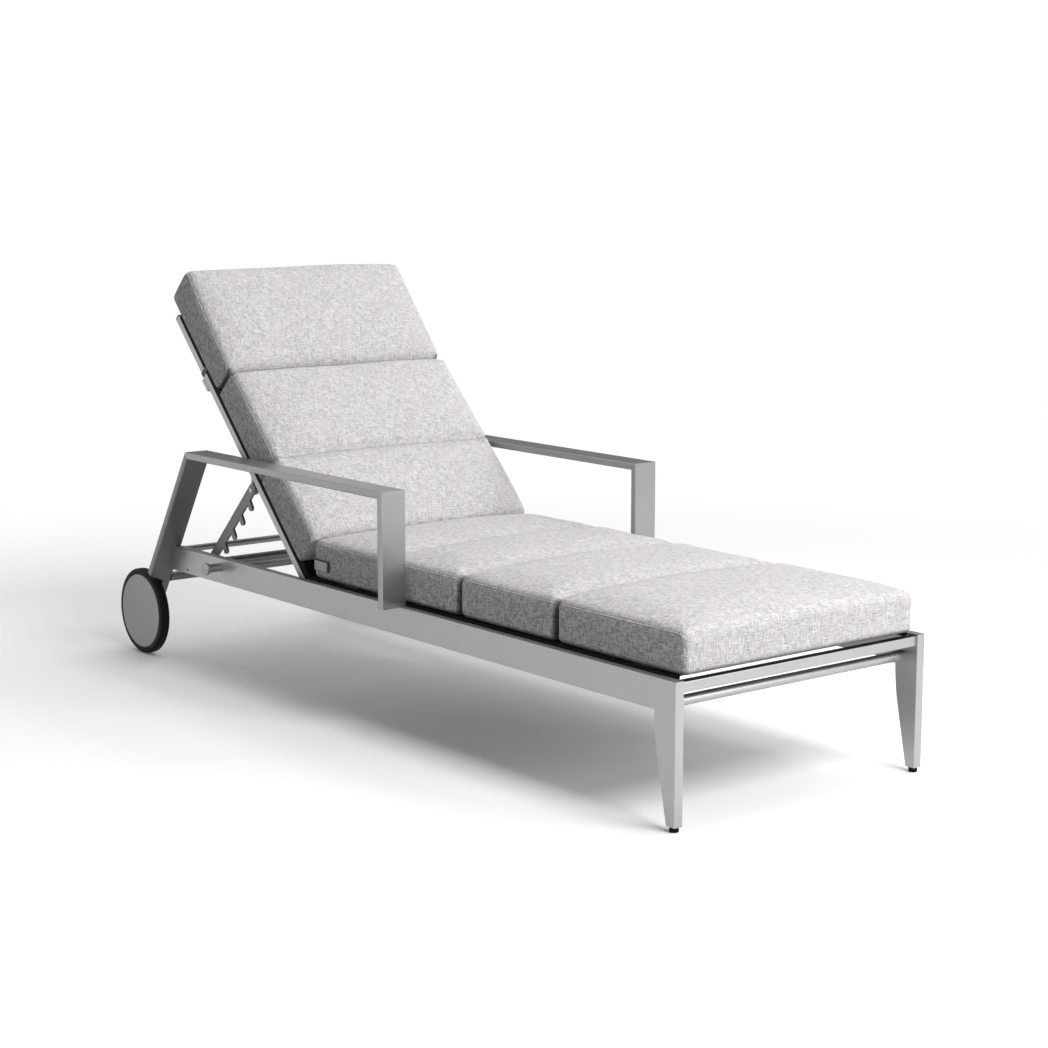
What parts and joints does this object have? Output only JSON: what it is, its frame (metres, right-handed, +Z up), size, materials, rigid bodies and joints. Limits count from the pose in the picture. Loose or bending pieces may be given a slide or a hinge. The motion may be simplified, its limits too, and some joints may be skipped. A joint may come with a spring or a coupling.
{
  "type": "reclining sun lounger",
  "caption": "Reclining sun lounger with an aluminium frame, flat-bar arms, hooked ratchet combs under the back, channelled fabric pads and two wheels at the head end.",
  "frame": {"origin": "on the floor at the middle of the lounger's length and width", "axes": "+Z up, the foot end faces -Y and the head end +Y, +X is the sitter's left"},
  "size_m": [0.756, 2.017, 0.9393],
  "materials": {
    "frame_silver": "satin powder-coated silver",
    "pad_fabric": "light grey slub weave",
    "tag_fabric": "blank woven tag",
    "sling_mesh": "black open-weave mesh",
    "strap_webbing": "flat webbing",
    "tyre_rubber": "matte black rubber",
    "wheel_plastic": "moulded black",
    "cap_grey": "light grey dished cap",
    "black_trim": "matte black",
    "bush_nylon": "moulded nylon",
    "steel_hardware": "stainless",
    "knob_metal": "turned and satin"
  },
  "bodies": {
    "frame": {"side_rail_right": "frame_silver", "side_rail_left": "frame_silver", "front_leg_right": "frame_silver", "front_leg_left": "frame_silver", "leg_glides": "black_trim", "foot_crossbar": "frame_silver", "foot_handle": "frame_silver", "handle_sockets": "frame_silver", "slat_ledges": "frame_silver", "deck_slats": "frame_silver", "slat_screws": "steel_hardware", "seat_sling": "sling_mesh", "armrest_right": "frame_silver", "armrest_left": "frame_silver", "arm_post_right": "frame_silver", "arm_post_left": "frame_silver", "rear_leg_right": "frame_silver", "rear_leg_left": "frame_silver", "back_rest_tube": "frame_silver", "rear_cross_tube": "frame_silver", "frame_screws": "steel_hardware", "wheel_axles": "steel_hardware", "axle_nuts": "steel_hardware", "hinge_pins": "steel_hardware", "hinge_spacers": "bush_nylon", "hinge_nuts": "steel_hardware", "catch_pins": "steel_hardware", "lock_bushes": "bush_nylon", "seat_pad_foot": "pad_fabric", "seat_pad_calf": "pad_fabric", "seat_pad_thigh": "pad_fabric", "seat_pad_hip": "pad_fabric", "fabric_tag": "tag_fabric"},
    "back": {"back_tube_right": "frame_silver", "back_tube_left": "frame_silver", "back_tube_plugs": "black_trim", "hinge_bushes": "bush_nylon", "back_top_tube": "frame_silver", "back_flat_bar": "frame_silver", "back_mid_tube": "frame_silver", "back_foot_bar": "black_trim", "sling_rails": "black_trim", "back_sling": "sling_mesh", "comb_lugs": "frame_silver", "pad_straps": "strap_webbing", "back_pad_head": "pad_fabric", "back_pad_middle": "pad_fabric", "back_pad_lower": "pad_fabric", "comb_screws": "steel_hardware"},
    "ratchet": {"ratchet_comb_right": "frame_silver", "ratchet_comb_left": "frame_silver", "comb_cross_tube": "frame_silver"},
    "wheel_right": {"wheel_tyre_right": "tyre_rubber", "wheel_rim_right": "wheel_plastic", "wheel_cap_right": "cap_grey"},
    "wheel_left": {"wheel_tyre_left": "tyre_rubber", "wheel_rim_left": "wheel_plastic", "wheel_cap_left": "cap_grey"},
    "lock_right": {"lock_knob_right": "knob_metal"},
    "lock_left": {"lock_knob_left": "knob_metal"}
  },
  "joints": [
    {"name": "back_recline", "type": "hinge", "parent": "frame", "child": "back", "pos_m": [0, 0.2615, 0.2505], "axis": [1, 0, 0], "range_deg": [-41.6, 3]},
    {"name": "comb_swing", "type": "hinge", "parent": "back", "child": "ratchet", "pos_m": [0, 0.49324, 0.44661], "axis": [1, 0, 0], "range_deg": [-8, 71]},
    {"name": "wheel_right_spin", "type": "hinge", "parent": "frame", "child": "wheel_right", "pos_m": [-0.352, 0.9035, 0.105], "axis": [1, 0, 0], "continuous": true},
    {"name": "wheel_left_spin", "type": "hinge", "parent": "frame", "child": "wheel_left", "pos_m": [0.352, 0.9035, 0.105], "axis": [1, 0, 0], "continuous": true},
    {"name": "lock_right_push", "type": "slide", "parent": "frame", "child": "lock_right", "axis": [1, 0, 0], "range_m": [0, 0.0125]},
    {"name": "lock_left_push", "type": "slide", "parent": "frame", "child": "lock_left", "axis": [-1, 0, 0], "range_m": [0, 0.0125]}
  ],
  "couplings": [
    {"joint": "comb_swing", "follows": "back_recline", "ratio": -1.62}
  ]
}
